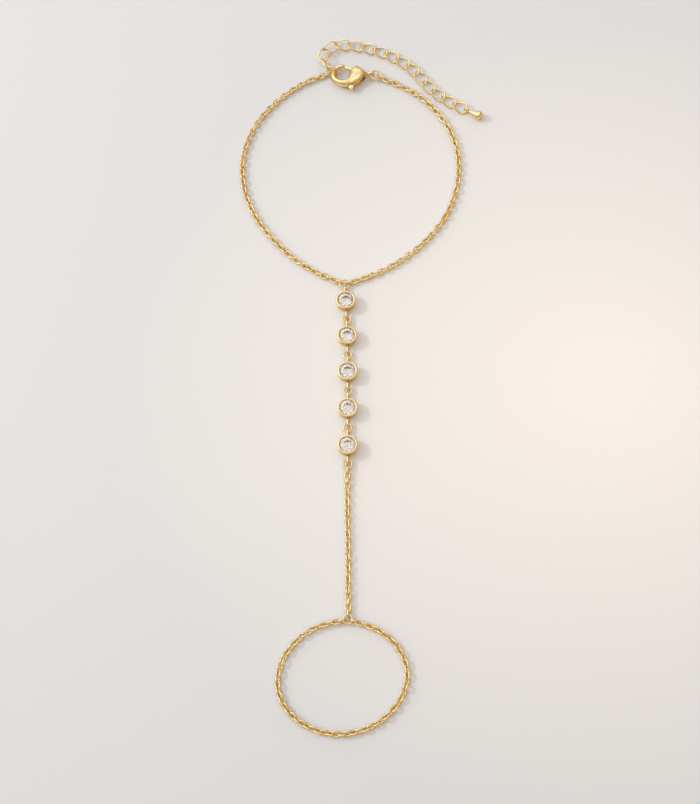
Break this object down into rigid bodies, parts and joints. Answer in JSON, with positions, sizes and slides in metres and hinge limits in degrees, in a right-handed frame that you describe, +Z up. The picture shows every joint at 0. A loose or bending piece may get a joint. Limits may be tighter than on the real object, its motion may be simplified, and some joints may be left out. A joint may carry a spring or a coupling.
{
  "type": "hand chain bracelet",
  "caption": "Gold-tone hand chain bracelet: wrist chain with claw clasp and extender, a row of clear stones in round bezels, a short chain and a finger loop.",
  "frame": {"origin": "centre of the outline, on the surface that it lies on", "axes": "+Z up from the surface, +Y from the finger loop towards the clasp, +X to the picture's right"},
  "size_m": [0.0573, 0.165, 0.0031],
  "materials": {
    "gold_plate": "polished gold plate on brass",
    "clear_stone": "clear brilliant-cut stone"
  },
  "bodies": {
    "bracelet": {"wrist_chain_left": "gold_plate", "wrist_chain_right": "gold_plate", "centre_ring": "gold_plate", "bezel_1": "gold_plate", "bezel_2": "gold_plate", "bezel_3": "gold_plate", "bezel_4": "gold_plate", "bezel_5": "gold_plate", "stone_1": "clear_stone", "stone_2": "clear_stone", "stone_3": "clear_stone", "stone_4": "clear_stone", "stone_5": "clear_stone", "bezel_ring_1": "gold_plate", "bezel_ring_2": "gold_plate", "bezel_ring_3": "gold_plate", "bezel_ring_4": "gold_plate", "lower_ring": "gold_plate", "hand_chain": "gold_plate", "finger_ring": "gold_plate", "finger_chain": "gold_plate", "clasp_body": "gold_plate", "clasp_ring": "gold_plate", "end_ring": "gold_plate", "extender_link_1": "gold_plate", "extender_link_2": "gold_plate", "extender_link_3": "gold_plate", "extender_link_4": "gold_plate", "extender_link_5": "gold_plate", "extender_link_6": "gold_plate", "extender_link_7": "gold_plate", "extender_link_8": "gold_plate", "extender_link_9": "gold_plate", "extender_link_10": "gold_plate", "extender_link_11": "gold_plate", "extender_link_12": "gold_plate", "extender_link_13": "gold_plate", "extender_link_14": "gold_plate", "extender_link_15": "gold_plate", "extender_drop": "gold_plate"},
    "lever": {"clasp_lever": "gold_plate"}
  },
  "joints": [
    {"name": "lever_hinge", "type": "hinge", "parent": "bracelet", "child": "lever", "pos_m": [-0.00138, 0.07337, 0.0013], "axis": [0, 0, 1], "range_deg": [0, 26], "stiffness_Nm_per_rad": 0.01, "springref_deg": -22.92}
  ]
}
